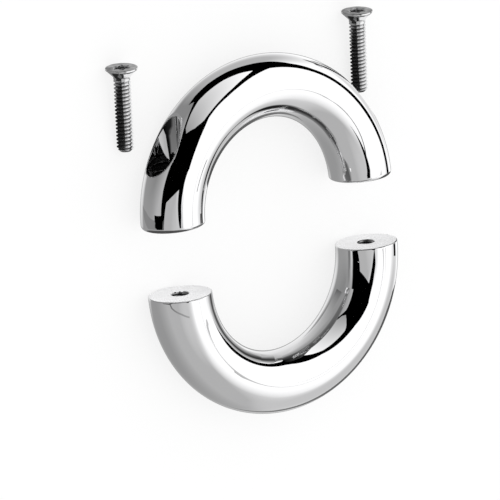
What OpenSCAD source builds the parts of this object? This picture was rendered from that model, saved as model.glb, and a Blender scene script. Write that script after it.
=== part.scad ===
// Segment ring in two screwed halves, lying on its side and taken apart.
// The arch and the lower half are half rings of round bar. Two countersunk screws drop through
// recesses in the arch's shoulders and bite in tapped holes in the lower half's cut faces.
// X runs across the ring, Y up its screw axes, Z up from the surface it lies on.

/* [Ring] */
// Gauge, the diameter of the round bar
gauge = 6; // [5.5:0.1:6.5]
// Inner diameter of the closed ring
inner_d = 16; // [15:0.5:20]
// Softened corner around the arch's cut faces
arch_edge = 0.35; // [0.1:0.05:0.5]
// Softened corner around the lower half's cut faces
base_edge = 0.1; // [0.05:0.05:0.3]

/* [Holes] */
// Diameter of the deep recess that swallows a screw head
recess_d = 3.54; // [3.5:0.02:3.7]
// How far outboard of the screw's axis the recess is bored
recess_out = 0.2; // [0:0.05:0.2]
// Height of the recess floor over the cut face
seat_h = 5; // [4.8:0.1:5.2]
// Play around a screw head in its countersink, across the diameter
head_play = 0.06; // [0.02:0.02:0.1]
// Clearance hole through the arch
through_d = 1.8; // [1.7:0.1:2]
// Tapped hole in the lower half, at the crests' clearance
tapped_d = 1.64; // [1.62:0.01:1.7]
// Depth of the tapped hole below the cut face
tapped_h = 4; // [3.5:0.1:4.5]
// Countersunk lead at the mouth of the tapped hole
lead_h = 0.08; // [0.05:0.01:0.2]
// Angle of the drill point at the bottom of the tapped hole
drill_point = 118; // [90:2:140]

/* [Screws] */
// Thread diameter over its crests
thread_d = 1.6; // [1.4:0.1:1.6]
// Pitch of the thread
pitch = 0.35; // [0.3:0.05:0.35]
// Whole length of a screw, from its flat top to its tip
screw_l = 8; // [7:0.5:8]
// Diameter of the countersunk head
head_d = 3; // [2.8:0.1:3]
// Straight land around the head's rim
rim_h = 0.15; // [0.1:0.05:0.2]
// Plain neck between the head's cone and the thread
neck_h = 0.3; // [0.2:0.1:0.5]
// Chamfer at the tip
tip_h = 0.3; // [0.2:0.1:0.4]
// Width across the lobes of the driver socket
socket_d = 1.7; // [1.4:0.1:1.7]
// Depth of the driver socket
socket_h = 0.55; // [0.4:0.05:0.6]

/* [Layout] */
// Gap that the two halves lie apart
spread = 6.5; // [0:0.5:12]
// How far the lower half's centre lies behind the origin
base_back = 4; // [0:0.5:6]
// Sideways place of the left screw
left_x = -13.9; // [-20:0.1:-13.5]
// Sideways place of the right screw
right_x = 13.5; // [13.5:0.1:20]
// Where the screw heads end, in front of the origin
heads_y = 18; // [17:0.5:24]

/* [Hidden] */
$fn = 96;
bar_r = gauge / 2;
ring_r = inner_d / 2 + bar_r;      // centreline of the bar
over = 1;                          // how far a cutter runs past what it cuts
edge_bite = 0.02;                  // a corner's arc stays this far off the tangent
cone_h = (head_d - thread_d) / 2;  // a head cone of 90 degrees
groove_h = 0.19;                   // depth of a thread groove
crest_w = 0.05;                    // flat left on a crest
root_w = 0.04;                     // flat at a groove's root
thread_top = rim_h + cone_h + neck_h;
turns = floor((screw_l - tip_h - thread_top) / pitch);
// A lying screw touches the surface with its rim and with its last crest
reach = screw_l - tip_h - rim_h;
lean = atan((head_d - thread_d) / 2 / reach);
head_z = head_d / 2 * cos(lean) + rim_h * sin(lean);
// Six lobes of the driver socket: the width of its core and the radii of its lobes and of the
// waists between them, as shares of the width across the lobes
lobes = 6;
core_share = 0.92;
lobe_share = 0.105;
waist_share = 0.168;

// Half a round bar bent to the ring's radius, with flat ends on the plane Y = 0
module half_bar() {
  rotate_extrude(angle = 180) translate([ring_r, 0]) circle(r = bar_r);
}

// What a softened corner takes off the end of the bar, on both cut faces
module corner_cutters(edge) {
  for (side = [-1, 1])
    translate([side * ring_r, 0, 0]) rotate([-90, 0, 0]) rotate_extrude()
      difference() {
        translate([bar_r - edge, -edge]) square([edge + over, 2 * edge]);
        translate([bar_r - edge + edge_bite, edge]) circle(r = edge);
      }
}

// A cylinder that starts at height y over the cut plane and grows along the screw axis
module bore(d, y, h) {
  translate([0, y, 0]) rotate([-90, 0, 0]) cylinder(d = d, h = h);
}

// A cone along the screw axis, from width d1 at height y to width d2
module flare(d1, d2, y, h) {
  translate([0, y, 0]) rotate([-90, 0, 0]) cylinder(d1 = d1, d2 = d2, h = h);
}

// Recess, countersink and clearance hole for one screw through the arch's left or right shoulder
module screw_way(side) {
  seat_d = head_d + head_play;
  cone_y = seat_h - rim_h;
  cone_drop = (seat_d - through_d) / 2;
  bore(through_d, -over, over + cone_y);
  flare(through_d, seat_d, cone_y - cone_drop, cone_drop);
  bore(seat_d, cone_y, rim_h + over);
  translate([side * recess_out, 0, 0]) bore(recess_d, seat_h, 2 * ring_r);
}

// Tapped hole for one screw in the lower half, opening on the cut face at Y = 0
module tapped_way() {
  point_h = tapped_d / 2 / tan(drill_point / 2);
  bore(tapped_d, -tapped_h, tapped_h + over);
  flare(0, tapped_d, -tapped_h - point_h, point_h);
  flare(tapped_d, tapped_d + 2 * lead_h, -lead_h, lead_h);
}

module lower_half() {
  color("gainsboro")
  translate([0, -base_back, bar_r]) mirror([0, 1, 0]) difference() {
    half_bar();
    corner_cutters(base_edge);
    for (side = [-1, 1]) translate([side * ring_r, 0, 0]) mirror([0, 1, 0]) tapped_way();
  }
}

module upper_half() {
  color("silver")
  translate([0, spread - base_back, bar_r]) difference() {
    half_bar();
    corner_cutters(arch_edge);
    for (side = [-1, 1]) translate([side * ring_r, 0, 0]) screw_way(side);
  }
}

// Outline of the turned blank: head, neck, thread with a groove for each pitch, chamfered tip
module blank_outline() {
  r = thread_d / 2;
  groove_w = (pitch - crest_w - root_w) / 2;
  polygon(concat(
    [[0, 0], [head_d / 2, 0], [head_d / 2, -rim_h], [r, -rim_h - cone_h], [r, -thread_top]],
    [for (i = [0 : turns - 1], k = [0 : 3])
      let (y = -thread_top - i * pitch)
      k == 0 ? [r - groove_h, y - groove_w] :
      k == 1 ? [r - groove_h, y - groove_w - root_w] :
      k == 2 ? [r, y - 2 * groove_w - root_w] : [r, y - pitch]],
    [[r, -screw_l + tip_h], [r - tip_h, -screw_l], [0, -screw_l]]
  ));
}

// Six-lobed driver socket, seen along the screw's axis
module socket_outline() {
  lobe_r = socket_d * lobe_share;
  waist_r = socket_d * waist_share;
  core_r = socket_d * core_share / 2;
  difference() {
    circle(r = core_r);
    for (k = [0 : lobes - 1]) rotate((k + 0.5) * 360 / lobes)
      translate([core_r - lobe_r + waist_r, 0]) circle(r = waist_r);
  }
  for (k = [0 : lobes - 1]) rotate(k * 360 / lobes)
    translate([socket_d / 2 - lobe_r, 0]) circle(r = lobe_r);
}

// A screw along -Z with its flat top at the origin
module screw() {
  difference() {
    rotate_extrude() blank_outline();
    translate([0, 0, -socket_h]) linear_extrude(socket_h + over) socket_outline();
  }
}

// A screw laid down along Y, head to the front, on its rim and its last crest
module lying_screw(x) {
  translate([x, heads_y, head_z]) rotate([lean - 90, 0, 0]) screw();
}

module screw_left() {
  color("dimgray") lying_screw(left_x);
}

module screw_right() {
  color("dimgray") lying_screw(right_x);
}

lower_half();
upper_half();
screw_left();
screw_right();
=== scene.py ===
"""Segment ring in two halves with its two screws, lying on a pale studio floor.

Sizes in the classes are in millimetres, and the meshes are in metres, as the frame is.
X runs across the ring, Y up its screw axes and Z up from the floor.
"""

import logging
import math
from dataclasses import dataclass, field
from enum import Enum

import bmesh
import bpy
import numpy as np
from bpy.types import Material, Mesh, Node, NodeSocket, NodeTree, Object, World
from mathutils import Matrix, Vector


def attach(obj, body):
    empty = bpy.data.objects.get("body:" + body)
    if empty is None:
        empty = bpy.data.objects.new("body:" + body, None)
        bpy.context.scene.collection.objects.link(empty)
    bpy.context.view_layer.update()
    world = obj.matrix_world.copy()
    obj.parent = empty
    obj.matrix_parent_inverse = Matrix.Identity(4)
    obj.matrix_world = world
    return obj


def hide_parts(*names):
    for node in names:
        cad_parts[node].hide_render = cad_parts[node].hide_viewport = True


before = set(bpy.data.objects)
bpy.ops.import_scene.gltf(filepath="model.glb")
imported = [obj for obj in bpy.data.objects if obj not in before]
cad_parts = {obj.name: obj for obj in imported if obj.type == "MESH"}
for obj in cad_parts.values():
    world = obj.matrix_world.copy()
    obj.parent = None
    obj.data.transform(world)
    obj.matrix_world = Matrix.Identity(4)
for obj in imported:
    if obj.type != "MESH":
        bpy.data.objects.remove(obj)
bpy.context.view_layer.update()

# Shared measures and names
MM = 0.001
WELD = 2e-7
TINY = 1e-9
FULL_TURN = 2 * math.pi
QUARTER_TURN = math.pi / 2
FLAT = 0.99
RING_CREASE = 32
THREAD_CREASE = 38
log = logging.getLogger("segment_ring")

Value = NodeSocket | float | int | bool | str | tuple


class Body(Enum):
    """The frame's moving bodies."""

    LOWER = "lower"
    ARCH = "arch"


class Slot(Enum):
    """The record's material slots."""

    RING = "ring_steel"
    SCREW = "screw_steel"


class Side(Enum):
    """Which end of a half ring, seen with the arch at the top."""

    LEFT = -1
    RIGHT = 1


SCREW_X = {Side.LEFT: -13.9, Side.RIGHT: 13.5}


# Helpers that make objects and meshes
def linked(name: str, data: bpy.types.ID) -> Object:
    """Makes an object and links it into the scene.

    Args:
        name: Its name.
        data: Its mesh or camera.

    Returns:
        The object.
    """
    made = bpy.data.objects.new(name, data)
    bpy.context.collection.objects.link(made)
    return made


def finished_mesh(shown: Object) -> Mesh:
    """Returns a copy of an object's mesh, with its modifiers run."""
    graph = bpy.context.evaluated_depsgraph_get()
    return bpy.data.meshes.new_from_object(shown.evaluated_get(graph))


def plain_mesh(name: str, corners: list, faces: list[tuple[int, ...]]) -> Mesh:
    """Makes a mesh from corners in millimetres.

    Args:
        name: Its name.
        corners: The places of its corners.
        faces: The corners of each face, by number.

    Returns:
        The mesh.
    """
    made = bpy.data.meshes.new(name)
    made.from_pydata([tuple(size * MM for size in corner) for corner in corners], [], faces)
    return made


def face_outwards(mesh: Mesh) -> None:
    """Turns all of a closed mesh's faces outwards.

    Args:
        mesh: The mesh, changed in place.
    """
    work = bmesh.new()
    work.from_mesh(mesh)
    bmesh.ops.recalc_face_normals(work, faces=work.faces[:])
    work.to_mesh(mesh)
    work.free()


def crease(mesh: Mesh, degrees: float) -> None:
    """Shades a mesh smooth but for edges that turn by more than some degrees."""
    mesh.shade_smooth()
    mesh.set_sharp_from_angle(angle=math.radians(degrees))


def points_of(mesh: Mesh) -> np.ndarray:
    """Reads the places of a mesh's vertices.

    Args:
        mesh: The mesh.

    Returns:
        A row of three numbers for each vertex, in metres.
    """
    flat = np.empty(len(mesh.vertices) * 3, np.float32)
    mesh.vertices.foreach_get("co", flat)
    return flat.reshape(-1, 3).astype(float)


def heading(azimuth: float, elevation: float) -> Vector:
    """The unit direction with this azimuth, from +Y towards +X, and elevation, in degrees."""
    a, e = math.radians(azimuth), math.radians(elevation)
    return Vector((math.sin(a) * math.cos(e), math.cos(a) * math.cos(e), math.sin(e)))


def add_piece(name: str, mesh: Mesh, body: Body, replaced: str | None = None) -> Object:
    """Puts a finished mesh into the frame.

    Args:
        name: The piece's name.
        mesh: Its mesh, already in place.
        body: The body that it rides on.
        replaced: The CAD node that it stands for, if any.

    Returns:
        The new object.
    """
    piece = linked(name, mesh)
    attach(piece, body.value)
    if replaced:
        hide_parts(replaced)
    log.info("%s: %d faces on %s", name, len(mesh.polygons), body.value)
    return piece


# Helpers that fill node trees
class Bench:
    """Adds nodes to one tree and joins them up."""

    def __init__(self, tree: NodeTree) -> None:
        """Starts work on a tree.

        Args:
            tree: The geometry or shader tree to fill.
        """
        self.tree = tree

    def feed(self, socket: NodeSocket, value: Value) -> None:
        """Links a socket into another, or sets its value.

        Args:
            socket: The input to feed.
            value: The socket or plain value that feeds it.
        """
        if isinstance(value, NodeSocket):
            self.tree.links.new(value, socket)
        else:
            socket.default_value = value

    def node(self, kind: str, inputs: dict | None = None, **settings) -> Node:
        """Adds one node.

        Args:
            kind: The node's type name.
            inputs: What feeds each input, by name or place.
            **settings: The node's own options.

        Returns:
            The new node.
        """
        made = self.tree.nodes.new(kind)
        for name, value in settings.items():
            setattr(made, name, value)
        for key, value in (inputs or {}).items():
            self.feed(made.inputs[key], value)
        return made

    def math(self, operation: str, *values: Value) -> NodeSocket:
        """Adds a Math node and returns its result."""
        made = self.node("ShaderNodeMath", dict(enumerate(values)), operation=operation)
        return made.outputs[0]

    def times(self, first: Value, second: Value) -> NodeSocket:
        """Multiplies two values."""
        return self.math("MULTIPLY", first, second)

    def plus(self, first: Value, second: Value) -> NodeSocket:
        """Adds two values."""
        return self.math("ADD", first, second)

    def minus(self, first: Value, second: Value) -> NodeSocket:
        """Takes the second value from the first."""
        return self.math("SUBTRACT", first, second)

    def clamp(self, value: Value, low: Value, high: Value) -> NodeSocket:
        """Keeps a value between two others."""
        return self.math("MINIMUM", self.math("MAXIMUM", value, low), high)

    def blend(self, share: Value, first: Value, second: Value) -> NodeSocket:
        """Goes from the first value to the second as the share goes from 0 to 1."""
        return self.math("MULTIPLY_ADD", share, self.minus(second, first), first)

    def ramp(self, value: Value, start: Value, end: Value) -> NodeSocket:
        """Goes from 0 to 1 as the value goes from the start to the end."""
        fed = {"Value": value, "From Min": start, "From Max": end}
        return self.node("ShaderNodeMapRange", fed).outputs["Result"]


def cleared(owner: Material | World) -> Bench:
    """Empties a node tree and starts work on it.

    Args:
        owner: The material or the world that has the tree.

    Returns:
        A bench on the tree.
    """
    owner.use_nodes = True
    owner.node_tree.nodes.clear()
    return Bench(owner.node_tree)


def group_sockets(tree: NodeTree, inputs: dict, outputs: dict) -> None:
    """Gives a node group its named sockets.

    Args:
        tree: The group.
        inputs: The type and default value of each input, by name.
        outputs: The type of each output, by name.
    """
    for name, (kind, start) in inputs.items():
        made = tree.interface.new_socket(name=name, in_out="INPUT", socket_type=kind)
        if start is not None:
            made.default_value = start
    for name, kind in outputs.items():
        tree.interface.new_socket(name=name, in_out="OUTPUT", socket_type=kind)


# Geometry node trees for what turns about an axis or follows the ring
class Outline:
    """Stations of an outline, with marks that tell the tree how to turn each one."""

    def __init__(self) -> None:
        """Starts an empty outline."""
        self.stations: list[tuple[float, float, float]] = []
        self.lobed: list[float] = []
        self.helical: list[float] = []

    def add(
        self, x: float, y: float, z: float = 0.0, lobed: float = 0.0, helical: float = 0.0
    ) -> None:
        """Adds a station.

        Args:
            x: Its radius.
            y: Its height on the axis, or its angle round the ring.
            z: Its straight offset into the bar.
            lobed: How far it follows the driver socket's lobes, from 0 to 1.
            helical: 1 where it climbs with the thread.
        """
        self.stations.append((x, y, z))
        self.lobed.append(lobed)
        self.helical.append(helical)

    def mesh(self, name: str) -> Mesh:
        """Makes the stations into loose points that a tree can read.

        Args:
            name: The mesh's name.

        Returns:
            The mesh, with each station's marks.
        """
        made = bpy.data.meshes.new(name)
        made.from_pydata(self.stations, [], [])
        for key, values in (("lobed", self.lobed), ("helical", self.helical)):
            made.attributes.new(key, "FLOAT", "POINT").data.foreach_set("value", values)
        return made


class Loft:
    """A tree that lays a sheet of rows and columns and bends it into a closed skin."""

    def __init__(self, name: str, inputs: dict) -> None:
        """Builds the part of the tree that every loft has.

        Args:
            name: The tree's name.
            inputs: Its own inputs, with their socket types and defaults.
        """
        self.tree = bpy.data.node_groups.new(name, "GeometryNodeTree")
        shared = {
            "Stations": ("NodeSocketGeometry", None),
            "Steps around": ("NodeSocketInt", 96),
            "Material": ("NodeSocketMaterial", None),
        }
        group_sockets(self.tree, shared | inputs, {"Skin": "NodeSocketGeometry"})
        self.bench = Bench(self.tree)
        self.given = self.bench.node("NodeGroupInput").outputs
        bench, around = self.bench, self.given["Steps around"]
        sized = {"Geometry": self.given["Stations"]}
        count = bench.node("GeometryNodeAttributeDomainSize", sized).outputs["Point Count"]
        rows = bench.minus(count, 1)
        self.sheet = bench.node(
            "GeometryNodeMeshGrid",
            {
                "Size X": rows,
                "Size Y": around,
                "Vertices X": count,
                "Vertices Y": bench.plus(around, 1),
            },
        ).outputs["Mesh"]
        position = bench.node("GeometryNodeInputPosition").outputs[0]
        place = bench.node("ShaderNodeSeparateXYZ", {0: position})
        halves = (bench.times(size, 0.5) for size in (rows, around))
        self.row, column = (
            bench.math("ROUND", bench.plus(place.outputs[axis], half))
            for axis, half in zip("XY", halves)
        )
        self.share = bench.math("DIVIDE", column, around)
        self.angle = bench.times(self.share, FULL_TURN)

    def read(self, name: str | None = None) -> NodeSocket:
        """Reads a mark of the row's station, or its place.

        Args:
            name: The mark's name, or none for the place.

        Returns:
            What it reads.
        """
        if name is None:
            kind, value = "FLOAT_VECTOR", self.bench.node("GeometryNodeInputPosition").outputs[0]
        else:
            kind = "FLOAT"
            value = self.bench.node(
                "GeometryNodeInputNamedAttribute", {"Name": name}, data_type="FLOAT"
            ).outputs["Attribute"]
        made = self.bench.node("GeometryNodeSampleIndex", data_type=kind, domain="POINT")
        fed = {"Geometry": self.given["Stations"], "Value": value, "Index": self.row}
        for key, source in fed.items():
            self.bench.feed(made.inputs[key], source)
        return made.outputs["Value"]

    def mark(self, name: str, value: Value) -> None:
        """Stores a number for each of the sheet's points, for the finish to read.

        Args:
            name: The number's name.
            value: The number.
        """
        self.sheet = self.bench.node(
            "GeometryNodeStoreNamedAttribute",
            {"Geometry": self.sheet, "Name": name, "Value": value},
            data_type="FLOAT",
            domain="POINT",
        ).outputs["Geometry"]

    def close(self, x: Value, y: Value, z: Value) -> None:
        """Bends the sheet into the skin, welds its seams and poles and ends the tree.

        Args:
            x: Each point's place in X.
            y: Its place in Y.
            z: Its place in Z.
        """
        bench = self.bench
        place = bench.node("ShaderNodeCombineXYZ", {"X": x, "Y": y, "Z": z}).outputs[0]
        skin = bench.node("GeometryNodeSetPosition", {"Geometry": self.sheet, "Position": place})
        for kind, extra in (
            ("GeometryNodeMergeByDistance", {"Distance": WELD}),
            ("GeometryNodeSetShadeSmooth", {}),
            ("GeometryNodeRealizeInstances", {}),
            ("GeometryNodeSetMaterial", {"Material": self.given["Material"]}),
        ):
            skin = bench.node(kind, {"Geometry": skin.outputs[0]} | extra)
        bench.node("NodeGroupOutput", {0: skin.outputs[0]})

    def make(self, name: str, outline: Outline, **sizes: Value) -> Mesh:
        """Runs the tree on an outline and returns a plain closed mesh.

        Args:
            name: The mesh's name.
            outline: The stations to loft through.
            **sizes: The tree's inputs, with underscores for the spaces in their names.

        Returns:
            The mesh, welded, with its faces pointing outwards.
        """
        points = linked(name + "_stations", outline.mesh(name + "_stations"))
        loft = points.modifiers.new("loft", "NODES")
        loft.node_group = self.tree
        sockets = {
            item.name.lower().replace(" ", "_"): item.identifier
            for item in self.tree.interface.items_tree
            if item.in_out == "INPUT"
        }
        for key, value in sizes.items():
            loft[sockets[key]] = value
        made = finished_mesh(points)
        made.name = name
        made.materials.clear()
        made.materials.append(sizes["material"])
        bpy.data.objects.remove(points)
        face_outwards(made)
        return made


class TurnedLoft(Loft):
    """The tree for what a lathe makes: screws with their threads, and the cutters of holes."""

    def __init__(self) -> None:
        """Builds the tree."""
        lengths = {
            "Pitch": 0.35,
            "Thread top": -1.0,
            "Thread bottom": -8.0,
            "Plain radius": 0.8,
            "Run in": 0.35,
            "Run out": 0.01,
            "Tip radius": 9.0,
            "Groove depth": 0.18,
        }
        inputs = {name: ("NodeSocketFloat", size * MM) for name, size in lengths.items()}
        inputs |= {"Lobes": ("NodeSocketInt", 6), "Lobe depth": ("NodeSocketFloat", 0.29)}
        super().__init__("turned_loft", inputs)
        bench, given = self.bench, self.given
        station = bench.node("ShaderNodeSeparateXYZ", {0: self.read()})
        lobed, helical = self.read("lobed"), self.read("helical")
        climb = bench.times(bench.times(helical, given["Pitch"]), self.share)
        free = bench.plus(station.outputs["Y"], climb)
        held = bench.clamp(free, given["Thread bottom"], given["Thread top"])
        height = bench.blend(helical, free, held)
        below = bench.minus(given["Thread top"], height)
        above = bench.minus(height, given["Thread bottom"])
        deep = bench.times(
            bench.ramp(below, 0.0, given["Run in"]), bench.ramp(above, 0.0, given["Run out"])
        )
        cut = bench.blend(deep, given["Plain radius"], station.outputs["X"])
        chamfer = bench.plus(given["Tip radius"], above)
        thread = bench.math("MINIMUM", cut, chamfer)
        wave = bench.math("COSINE", bench.times(self.angle, given["Lobes"]))
        dip = bench.times(bench.minus(1.0, wave), 0.5)
        dent = bench.times(bench.times(dip, given["Lobe depth"]), lobed)
        plain = bench.times(station.outputs["X"], bench.minus(1.0, dent))
        radius = bench.blend(helical, plain, thread)
        fall = bench.minus(given["Plain radius"], radius)
        # The groove mask, with which the thread's finish paints shade into its grooves
        groove = bench.times(bench.ramp(fall, 0.0, given["Groove depth"]), helical)
        self.mark("groove", groove)
        self.close(
            bench.times(radius, bench.math("COSINE", self.angle)),
            bench.times(radius, bench.math("SINE", self.angle)),
            height,
        )


class RingLoft(Loft):
    """The tree for a round bar bent along half of the ring, from one cut face to the other."""

    def __init__(self) -> None:
        """Builds the tree."""
        super().__init__("ring_loft", {"Ring radius": ("NodeSocketFloat", 11 * MM)})
        bench, ring = self.bench, self.given["Ring radius"]
        station = bench.node("ShaderNodeSeparateXYZ", {0: self.read()})
        section, bend, offset = (station.outputs[axis] for axis in "XYZ")
        outwards = bench.times(section, bench.math("COSINE", self.angle))
        reach = bench.plus(ring, outwards)
        rise = bench.times(reach, bench.math("SINE", bend))
        self.close(
            bench.times(reach, bench.times(bench.math("COSINE", bend), -1.0)),
            bench.plus(rise, offset),
            bench.times(section, bench.math("SINE", self.angle)),
        )


# Surface effects, shared by the finishes
def effect(name: str, inputs: dict, outputs: dict) -> tuple[Bench, dict, Node]:
    """Starts a shader node group.

    Args:
        name: The group's name.
        inputs: The default of each of its inputs, which are numbers.
        outputs: The socket type of each output.

    Returns:
        A bench on the group, its inputs, and its output node.
    """
    tree = bpy.data.node_groups.new(name, "ShaderNodeTree")
    group_sockets(tree, {k: ("NodeSocketFloat", v) for k, v in inputs.items()}, outputs)
    bench = Bench(tree)
    return bench, bench.node("NodeGroupInput").outputs, bench.node("NodeGroupOutput")


def hairline_effect() -> NodeTree:
    """Builds fine scratches of handling.

    Returns:
        The group, which gives them as a mask.
    """
    warp_scale, warp, stretch = 160.0, 0.6 * MM, (0.04, 1.0, 1.0)
    faint, full = 0.62, 0.8
    bench, given, result = effect(
        "hairlines", {"Scale": 900.0, "Amount": 0.5}, {"Mask": "NodeSocketFloat"}
    )
    place = bench.node("ShaderNodeTexCoord").outputs["Object"]
    bent = bench.node("ShaderNodeTexNoise", {"Vector": place, "Scale": warp_scale, "Detail": 1.0})
    pushed = bench.node(
        "ShaderNodeVectorMath",
        {0: bent.outputs["Color"], 1: (warp,) * 3, 2: place},
        operation="MULTIPLY_ADD",
    )
    masks = []
    for turn in ((0.4, 0.9, 0.2), (1.9, 0.3, 1.1)):
        laid = bench.node(
            "ShaderNodeMapping",
            {"Vector": pushed.outputs[0], "Rotation": turn, "Scale": stretch},
        )
        noise = bench.node(
            "ShaderNodeTexNoise",
            {"Vector": laid.outputs[0], "Scale": given["Scale"], "Detail": 3.0},
        )
        masks.append(bench.ramp(noise.outputs["Fac"], faint, full))
    worn = bench.math("MAXIMUM", *masks)
    bench.feed(result.inputs["Mask"], bench.times(worn, given["Amount"]))
    return bench.tree


def cloud_effect() -> NodeTree:
    """Builds the broad and the fine unevenness of a finish.

    Returns:
        The group, which gives them as two masks that average 0.5.
    """
    bench, given, result = effect(
        "clouding",
        {"Broad scale": 220.0, "Fine scale": 3500.0},
        {"Broad": "NodeSocketFloat", "Fine": "NodeSocketFloat"},
    )
    place = bench.node("ShaderNodeTexCoord").outputs["Object"]
    for name, detail in (("Broad", 2.0), ("Fine", 5.0)):
        noise = bench.node(
            "ShaderNodeTexNoise",
            {"Vector": place, "Scale": given[name + " scale"], "Detail": detail},
        )
        bench.feed(result.inputs[name], noise.outputs["Fac"])
    return bench.tree


def turning_effect() -> NodeTree:
    """Builds the rings that a turning tool leaves about each screw axis.

    Returns:
        The group, which gives them as a height.
    """
    bench, given, result = effect(
        "turning_marks",
        {"Axis X": 11 * MM, "Axis Z": 3 * MM, "Rings": 14000.0},
        {"Height": "NodeSocketFloat"},
    )
    place = bench.node(
        "ShaderNodeSeparateXYZ", {0: bench.node("ShaderNodeTexCoord").outputs["Object"]}
    )
    across = bench.minus(bench.math("ABSOLUTE", place.outputs["X"]), given["Axis X"])
    up = bench.minus(place.outputs["Z"], given["Axis Z"])
    square = bench.plus(bench.math("POWER", across, 2.0), bench.math("POWER", up, 2.0))
    radius = bench.math("SQRT", square)
    noise = bench.node(
        "ShaderNodeTexNoise",
        {"W": radius, "Scale": given["Rings"], "Detail": 2.0},
        noise_dimensions="1D",
    )
    bench.feed(result.inputs["Height"], noise.outputs["Fac"])
    return bench.tree


@dataclass(frozen=True)
class Effects:
    """The effect groups, built once."""

    hairlines: NodeTree
    clouding: NodeTree
    turning: NodeTree


# Finishes
@dataclass(frozen=True)
class SteelFinish:
    """A bare steel finish, from a mirror to a satin or a rolled thread."""

    name: str
    tone: float
    roughness: float
    cloud: float
    hairline: float
    tone_spread: float = 0.0
    metallic: float = 1.0
    turning: float = 0.0
    grain: float = 0.0
    grain_scale: float = 3500.0
    # Painted shade: how much the colour darkens in a thread's grooves
    groove_dark: float = 0.0
    groove_edge: float = 2.5
    groove_rough: float = 0.2
    blueness: float = 1.008

    def material(self, effects: Effects) -> Material:
        """Builds the material.

        Args:
            effects: The shared effect groups.

        Returns:
            The material, ready to assign.
        """
        made = bpy.data.materials.new(self.name)
        bench = cleared(made)
        cloud = bench.node("ShaderNodeGroup", node_tree=effects.clouding)
        cloud.inputs["Fine scale"].default_value = self.grain_scale
        lines = bench.node("ShaderNodeGroup", node_tree=effects.hairlines)
        shift = bench.minus(cloud.outputs["Broad"], 0.5)
        rough = bench.math("MULTIPLY_ADD", shift, self.cloud, self.roughness)
        rough = bench.math("MULTIPLY_ADD", lines.outputs["Mask"], self.hairline, rough)
        fine = bench.minus(cloud.outputs["Fine"], 0.5)
        level = bench.math("MULTIPLY_ADD", fine, self.tone_spread, self.tone)
        level = bench.math("MULTIPLY_ADD", shift, self.tone_spread, level)
        # Painted shade: the groove mask darkens the colour in a thread's grooves, and also
        # roughens them
        if self.groove_dark:
            marked = bench.node("ShaderNodeAttribute", attribute_name="groove").outputs["Fac"]
            groove = bench.math("POWER", marked, self.groove_edge)
            kept = bench.math("MULTIPLY_ADD", groove, -self.groove_dark, 1.0)
            level = bench.times(level, kept)
            rough = bench.math("MULTIPLY_ADD", groove, self.groove_rough, rough)
        colour = bench.node(
            "ShaderNodeCombineColor",
            {"Red": level, "Green": level, "Blue": bench.times(level, self.blueness)},
        )
        shader = bench.node(
            "ShaderNodeBsdfPrincipled",
            {"Metallic": self.metallic, "Base Color": colour.outputs[0], "Roughness": rough},
        )
        if self.turning or self.grain:
            height = bench.times(cloud.outputs["Fine"], self.grain)
            if self.turning:
                marks = bench.node("ShaderNodeGroup", node_tree=effects.turning)
                height = bench.math("MULTIPLY_ADD", marks.outputs["Height"], self.turning, height)
            bump = bench.node(
                "ShaderNodeBump", {"Height": height, "Strength": 1.0, "Distance": MM}
            )
            bench.feed(shader.inputs["Normal"], bump.outputs["Normal"])
        bench.node("ShaderNodeOutputMaterial", {"Surface": shader.outputs[0]})
        return made


FINISHES = (
    SteelFinish("mirror_steel", 0.9, 0.008, 0.008, 0.012, tone_spread=0.03),
    SteelFinish(
        "satin_cut_face", 1.0, 0.42, 0.1, 0.1,
        tone_spread=0.2, metallic=0.12, turning=0.004, grain=0.008, grain_scale=2600.0,
    ),
    # Painted shade: near black for the recess seats, clearance holes and socket floors; the
    # roughness is the bored steel's own
    SteelFinish("bored_seat_steel", 0.01, 0.4, 0.1, 0.1, tone_spread=0.01),
    # The thread's steel, with painted shade in its grooves
    SteelFinish(
        "rolled_screw_steel", 0.85, 0.12, 0.1, 0.1,
        tone_spread=0.25, grain=0.002, groove_dark=0.85,
    ),
    # Painted shade: the flat head's steel is much darker than the thread's; its mottling is random
    # tone
    SteelFinish(
        "turned_head_steel", 0.28, 0.3, 0.15, 0.2,
        tone_spread=1.0, grain=0.006, grain_scale=1500.0,
    ),
    # Painted shade: the socket's walls are darker than the thread's steel
    SteelFinish("pressed_socket_steel", 0.6, 0.14, 0.1, 0.1, tone_spread=0.2),
    # Painted shade: the tapped threads are dark for the shade inside the holes
    SteelFinish("tapped_steel", 0.3, 0.2, 0.1, 0.1, tone_spread=0.1),
)


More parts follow.
